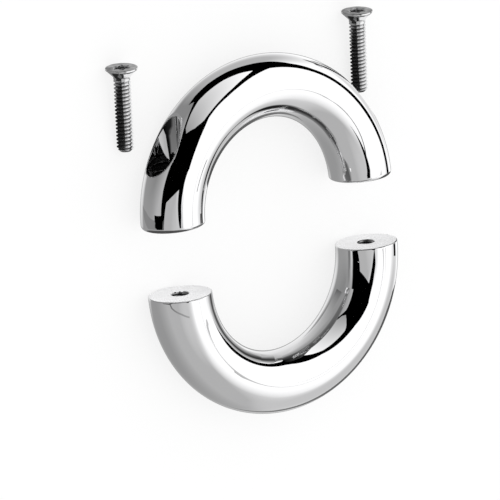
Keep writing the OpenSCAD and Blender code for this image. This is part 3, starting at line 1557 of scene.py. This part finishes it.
SMALL_CARDS = (
    SmallCard(
        "lower_ground", Facing.BACK, -0.85, (-4, 0, 3, 6, 10, 12),
        (
            ((3.6, 3.4, 3.4, 3.2, 3.2, 1), (0.3, 0.3)),
            ((0,) * 6, (0.28, 0.4)),
            ((-3,) * 6, (0.15, 0.85)),
            ((-14,) * 6, (0.1, 1.0)),
        ),
    ),
    SmallCard(
        "lower_light", Facing.BACK, -0.9, (9, 12, 14, 20, 30, 46, 80),
        (
            ((-2.5, -1, -3.5, -5, -5.6, -5.6, -5.6), (0.65, 0.55)),
            ((-14,) * 7, (0.85, 0.85)),
            ((-70,) * 7, (1.0, 1.0)),
        ),
    ),
    SmallCard(
        "lower_far_band", Facing.BACK, -0.95, (10.4, 12, 13.5, 18.3, 27.5, 60),
        (
            ((4.6, 4.8, 5.2, 5, 5.2, 7), (0.6, 0.6)),
            ((3.8, 3.6, 3.9, 3.6, 3.2, 2.5), (0.2, 0.3)),
            ((2.7, 2.6, 2.5, 1.6, 0, -5), (0.05, 0.03)),
            ((1.5, 1.2, 1, -1.7, -6, -14), (0.15, 0.15)),
            ((0.4, 0, -1.5, -5.5, -10.4, -22), (0.5, 0.4)),
            ((-3, -5, -6.8, -10.3, -17.6, -35), (0.7, 0.7)),
        ),
    ),
    SmallCard(
        "lower_near_band", Facing.BACK, -1.0,
        (-6.3, -5, -3.8, -1, 2, 4.8, 5.6, 6.4, 7.2, 9, 10.4),
        (
            ((6.3, 6.4, 5.6, 5.6, 5.6, 5.4, 6.3, 7.3, 7.8, 7.8, 8), (0.3, 0.0)),
            ((5, 5, 4.8, 4.4, 4.5, 4.4, 4.6, 4.6, 4.7, 4.8, 4.9), (0.2, 0.0)),
            ((3.8, 3.4, 3.4, 2.6, 2.4, 2.4, 2.4, 2.4, 2.4, 2.6, 3), (0.2, 0.05)),
            ((3.6, 3.2, 3, 2, 1.4, 1.2, 1.2, 1.2, 1.1, 1, 1.4), (0.3, 0.2)),
        ),
    ),
    SmallCard(
        "lower_shade", Facing.BACK, -1.05, (-30, -20, -10, -3, -0.6, 1.4, 3.6),
        (
            ((17, 22, 30, 30, 30, 30, 30), (0, 0)),
            ((11, 10.8, 10.2, 9.6, 9, 13.6, 19.4), (0, 0)),
        ),
    ),
    SmallCard(
        "lower_line", Facing.BACK, -1.1, (3, 5.4, 7, 8.6, 10, 12, 13.5),
        (
            ((70, 70, 16.4, 13, 10.6, 9.8, 10.2), (0, 0)),
            ((20.8, 14.6, 10.6, 8.3, 7.2, 6.4, 7.4), (0, 0)),
        ),
    ),
    SmallCard(
        "left_leg_line", Facing.AHEAD, -7.0, (-24, -22.9, -20, -17.8, -15.5, -12.8),
        (
            ((7.6, 7.8, 7.8, 8.6, 9.4, 9.7), (0.1, 0.4)),
            ((6.6, 7, 7, 7.8, 8.7, 9.1), (0.1, 0.4)),
        ),
    ),
    SmallCard(
        "arch_side", Facing.AHEAD, -1.0, (-62, -50, -43, -37, -33, -27.5),
        (
            ((25.5, 19.2, 16.4, 13.8, 11.6, 9.2), (0.35, 0.35)),
            ((24, 17.6, 14.8, 12.2, 10.4, 8.6), (0, 0)),
            ((-6, -1.8, -1.4, -0.2, 4.2, 5.8), (0, 0)),
            ((-8, -3.2, -2.8, -1.6, 3, 5), (0.25, 0.25)),
            ((-60,) * 6, (0.25, 0.25)),
        ),
    ),
    SmallCard(
        "arch_seam", Facing.AHEAD, -30.0, (12.3, 19.7, 28, 36, 47, 56, 68),
        (
            ((101.5, 96.5, 96, 96, 98, 100.5, 107.5), (0, 0.5)),
            ((94, 91.5, 92, 92, 94, 96.5, 103), (0, 0.5)),
        ),
    ),
    SmallCard(
        "inner_line", Facing.LEFT, -3.5,
        (-11.6, -10.2, -9.1, -8.45, -7.85, -7.25, -6.75, -6.0, -4.4),
        (
            ((5.4, 5.6, 5.7, 6.0, 6.4, 6.7, 6.9, 7.0, 7.2), (0.7, 0.8)),
            ((5.05, 5.2, 5.1, 5.3, 5.4, 5.5, 5.6, 5.5, 5.5), (0.4, 0.4)),
            ((4.92, 4.95, 4.75, 4.8, 4.85, 4.8, 4.8, 4.9, 4.9), (0.04, 0.12)),
            ((4.72, 4.6, 4.4, 4.45, 4.4, 4.15, 4.25, 3.95, 3.9), (0.05, 0.05)),
            ((4.5, 3.85, 3.6, 3.5, 3.25, 3.25, 3.2, 2.6, 2.4), (0.5, 0.4)),
            ((4.35, 3.4, 2.6, 2.8, 2.2, 2.0, 1.9, 0.1, 0.1), (0.75, 0.75)),
        ),
    ),
    SmallCard(
        "inner_line_end", Facing.LEFT, -1.2, (-11.5, -11.0, -10.4),
        (
            ((5.3, 5.35, 5.4), (0.8, 0.8)),
            ((4.93, 4.95, 5.03), (0.3, 0.3)),
            ((4.6, 4.55, 4.6), (0.02, 0.02)),
            ((4.35, 4.2, 4.15), (0.1, 0.1)),
            ((4.0, 3.8, 3.75), (0.4, 0.4)),
            ((3.7, 3.5, 3.4), (0.6, 0.6)),
        ),
    ),
    SmallCard(
        "leg_line", Facing.RIGHT, 5.0, (-6.35, -5.6, -5.3, -5.05, -4.7),
        (
            ((6.3, 6.4, 6.0, 5.4, 5.2), (0, 0)),
            ((5.3, 4.6, 4.45, 4.3, 4.25), (0, 0)),
            ((5.1, 4.3, 4.1, 4.05, 4.0), (0.4, 0.85)),
            ((4.6, 3.9, 3.75, 3.7, 3.65), (0.4, 0.6)),
            ((3.9, 3.4, 3.3, 3.2, 3.2), (0.3, 0.1)),
            ((3.1, 2.9, 2.7, 2.6, 2.6), (0.3, 0.3)),
        ),
    ),
    SmallCard(
        "seam_mask", Facing.AHEAD, -6.0, (-10.4, -8.3),
        (((13, 13), (1.15, 1.15)), ((10.3, 10.3), (1.15, 1.15))),
    ),
    SmallCard(
        "arch_seam_end", Facing.AHEAD, -1.0, (7.2, 9.5, 11.4),
        (((20.7, 21.4, 22.6), (0, 0)), ((19.5, 20.1, 21.2), (0, 0))),
    ),
    SmallCard(
        "arch_upright_line", Facing.AHEAD, -1.0, (-13.1, -12.5),
        (((21, 21), (0.12, 0.12)), ((120, 120), (0.25, 0.25))),
    ),
    SmallCard(
        "arch_near_shade", Facing.AHEAD, -1.0, (-8, -5, -3, -2, -0.9, 0.5, 1.25),
        (
            ((10.4, 10, 9.6, 9.2, 8.8, 7.6, 5.4), (0.5, 0.4)),
            ((9, 8.6, 8.2, 7.6, 6.8, 6, 4.6), (0.12, 0.1)),
            ((6.2, 5.2, 4.2, 4, 4.6, 4, 3.8), (0.2, 0.08)),
            ((5, 4, 3, 2.8, 2.8, 3, 2.6), (0.35, 0.35)),
        ),
    ),
    SmallCard(
        "arch_far_shade", Facing.AHEAD, -1.0,
        (1.2, 2, 3.2, 4.2, 5.4, 6.4, 7.2, 8, 8.7, 9.3, 9.8, 10.2, 10.8),
        (
            ((4.9, 4.9, 6.2, 6.3, 6.6, 7, 7.6, 8.5, 9.2, 9.8, 10.4, 10.8, 11.2), (0.45, 0.45)),
            ((4.2, 4.2, 5.1, 5.2, 5.4, 5.7, 6.2, 7.3, 8.3, 9, 9.6, 10, 10.6), (0.08, 0.0)),
            ((3.6, 3.6, 3.8, 4.2, 4.2, 4.3, 4.4, 5, 6, 7.1, 8.2, 9.4, 10.2), (0.08, 0.0)),
            ((2.6, 2.4, 2.2, 2.3, 2.2, 2.1, 2.9, 3.9, 5, 6.1, 7.2, 8.4, 9.4), (0.25, 0.25)),
        ),
    ),
    SmallCard(
        "recess_dark", Facing.RIGHT, -12.85, (7.5, 8.2, 8.28, 9.2, 10, 10.5, 10.9, 13),
        (
            ((3.3, 3.4, 3.4, 3.6, 3.75, 4.4, 4.6, 4.6), (0, 0)),
            ((-0.5, -0.5, 2.9, 2.85, 2.95, 2.8, 2, 1.4), (0, 0.02)),
            ((-0.6, -0.6, 2.5, 2.4, 2.4, 1.9, 1.2, 0.6), (0.18, 0.1)),
        ),
    ),
    SmallCard(
        "recess_grey", Facing.RIGHT, -12.9, (8.4, 9.2, 10, 10.8, 13),
        (((2.9, 2.8, 2.8, 2.3, 1.5), (0.2, 0.12)), ((-0.2, -0.2, -0.5, -1.1, -2.4), (0.2, 0.1))),
    ),
    SmallCard(
        "recess_edge", Facing.RIGHT, -12.88, (8.4, 9.2, 10, 10.8, 12),
        (((0.1, 0.1, -0.3, -1, -1.9), (0.02, 0.02)), ((-1.3, -1.6, -2.2, -3.4, -5), (0.02, 0.02))),
    ),
    rim_card("arch_left_rim", -0.9, (-15.0, 4.0), (6.5, 6.5), 0.08),
    rim_card("arch_right_rim", -0.9, (19, 2.5), (6, 6.5), 0.08),
)
FLAGS = (
    ScrewFlag("left_screw_shade", SCREW_X[Side.LEFT], -36, -200, 0.02, 0.25),
    ScrewFlag("right_screw_shade", SCREW_X[Side.RIGHT], -42, -200, 0.02, 0.25),
    ScrewFlag("left_screw_light", SCREW_X[Side.LEFT], 62, 176, 0.95, 0.95),
    ScrewFlag("right_screw_light", SCREW_X[Side.RIGHT], 62, 176, 0.95, 0.95),
)


@dataclass
class Studio:
    """The pale floor, the white room, the cards that the steel mirrors, and the camera."""

    layout_middle: tuple[float, float, float] = (0.0, -1.0, 3.0)
    floor_size: float = 4000.0
    azimuth: float = 35.04
    rise: float = 14.35
    roll: float = 5.58
    eye: tuple[float, float, float] = (-226.44, 98.02, 322.18)
    lens: float = 308.5
    sensor: float = 36.0
    clip: tuple[float, float] = (10.0, 20000.0)
    room_light: float = 1.05
    floor_glow: float = 0.78
    dull: float = 0.48
    # Azimuth, elevation, start and end of the soft edge as cosines, and tone
    lobes: tuple[tuple[float, float, float, float, float], ...] = (
        (72, 5, -0.1, 0.75, 1.15),
        (75, 60, 0.55, 0.85, 1.15),
        (-40, -40, 0.5, 0.85, 0.26),
        (-140, -50, 0.5, 0.95, 0.33),
        (-140, 62, 0.9, 1.0, 0.6),
        (60, -88, 0.93, 1.0, 0.85),
        (28, -28, 0.8, 0.97, 0.5),
        (112, -50, 0.92, 0.985, 0.3),
        (86, -20, 0.961, 0.99, 0.78),
        (124, 3, 0.883, 0.978, 0.6),
        (143, 6, 0.883, 0.978, 0.6),
        (66, -24, 0.9969, 0.9992, 0.05),
    )

    def camera(self) -> None:
        """Sets the camera at the photograph's angle, above the floor."""
        a, e, roll = (math.radians(v) for v in (self.azimuth, self.rise, self.roll))
        back = Vector((-math.sin(a) * math.cos(e), math.sin(e), math.cos(a) * math.cos(e)))
        across = Vector((math.cos(a), 0, math.sin(a)))
        up = back.cross(across)
        right = across * math.cos(roll) - up * math.sin(roll)
        top = across * math.sin(roll) + up * math.cos(roll)
        lens = bpy.data.cameras.new("camera")
        lens.lens, lens.sensor_width = self.lens, self.sensor
        lens.clip_start, lens.clip_end = (size * MM for size in self.clip)
        made = linked("camera", lens)
        turn = Matrix((right, top, back)).transposed().to_4x4()
        made.matrix_world = Matrix.Translation(Vector(self.eye) * MM) @ turn
        bpy.context.scene.camera = made

    def floor(self) -> None:
        """Lays the plain pale floor, which the steel doesn't mirror."""
        half = self.floor_size / 2
        corners = [(-half, -half, 0), (half, -half, 0), (half, half, 0), (-half, half, 0)]
        made = plain_mesh("floor", corners, [(0, 1, 2, 3)])
        paint = bpy.data.materials.new("pale_floor")
        bench, own = cleared(paint), self.floor_glow
        shader = bench.node(
            "ShaderNodeBsdfPrincipled",
            {
                "Base Color": (1 - own,) * 3 + (1,),
                "Roughness": 1.0,
                "Specular IOR Level": 0.0,
                "Emission Color": (1, 1, 1, 1),
                "Emission Strength": own,
            },
        )
        bench.node("ShaderNodeOutputMaterial", {"Surface": shader.outputs[0]})
        made.materials.append(paint)
        floor = linked("floor", made)
        floor.visible_glossy = False

    def glow(self) -> Material:
        """Makes the cards' material: each point glows with its own tone.

        Returns:
            The material.
        """
        made = bpy.data.materials.new("card_glow")
        bench = cleared(made)
        tone = bench.node("ShaderNodeAttribute", attribute_name="tone")
        light = bench.node("ShaderNodeEmission", {"Strength": tone.outputs["Fac"]})
        behind = bench.node("ShaderNodeNewGeometry").outputs["Backfacing"]
        through = bench.node("ShaderNodeBsdfTransparent")
        seen = bench.node(
            "ShaderNodeMixShader", {0: behind, 1: light.outputs[0], 2: through.outputs[0]}
        )
        bench.node("ShaderNodeOutputMaterial", {"Surface": seen.outputs[0]})
        return made

    def room(self) -> None:
        """Lights the room white, with a duller side that only the steel mirrors."""
        world = bpy.data.worlds.new("white_room")
        bpy.context.scene.world = world
        bench = cleared(world)
        rays = bench.node("ShaderNodeLightPath")
        look = bench.node("ShaderNodeTexCoord").outputs["Generated"]
        mirrored = self.dull
        for azimuth, elevation, start, end, tone in self.lobes:
            towards = bench.node(
                "ShaderNodeVectorMath",
                {0: look, 1: tuple(heading(azimuth, elevation))},
                operation="DOT_PRODUCT",
            )
            share = bench.ramp(towards.outputs["Value"], start, end)
            mirrored = bench.blend(share, mirrored, tone)
        level = bench.blend(rays.outputs["Is Glossy Ray"], self.room_light, mirrored)
        light = bench.node("ShaderNodeBackground", {"Strength": level, "Color": (1, 1, 1, 1)})
        bench.node("ShaderNodeOutputWorld", {"Surface": light.outputs[0]})

    def build(self) -> None:
        """Builds the whole studio."""
        self.camera()
        self.floor()
        self.room()
        glow = self.glow()
        middle = Vector(self.layout_middle) * MM
        for card in CARDS:
            card.build(middle, glow)
        for piece in (*SMALL_CARDS, *FLAGS):
            piece.build(glow)
        view = bpy.context.scene.view_settings
        view.view_transform, view.look = "Standard", "None"


def main() -> None:
    """Builds the studio, the halves, the screws and the threads."""
    logging.basicConfig(level=logging.INFO, format="%(name)s %(message)s")
    Studio().build()
    effects = Effects(hairline_effect(), cloud_effect(), turning_effect())
    steel = (finish.material(effects) for finish in FINISHES)
    mirror, satin, bored_shade, rolled, head, socket, tapped = steel
    # The socket floors share the seats' near-black finish, which is painted shade
    screw_finishes = ScrewFinishes(rolled, head, bored_shade, socket)
    ring_loft, turned_loft = RingLoft(), TurnedLoft()
    lower = LowerHalf()
    lower.build(ring_loft, mirror, satin)
    Arch().build(ring_loft, turned_loft, mirror, satin, bored_shade)
    for side, place_x in SCREW_X.items():
        Screw(side, place_x).build(turned_loft, screw_finishes)
        TappedThread(side, lower).build(turned_loft, tapped)


if __name__ == "__main__":
    main()
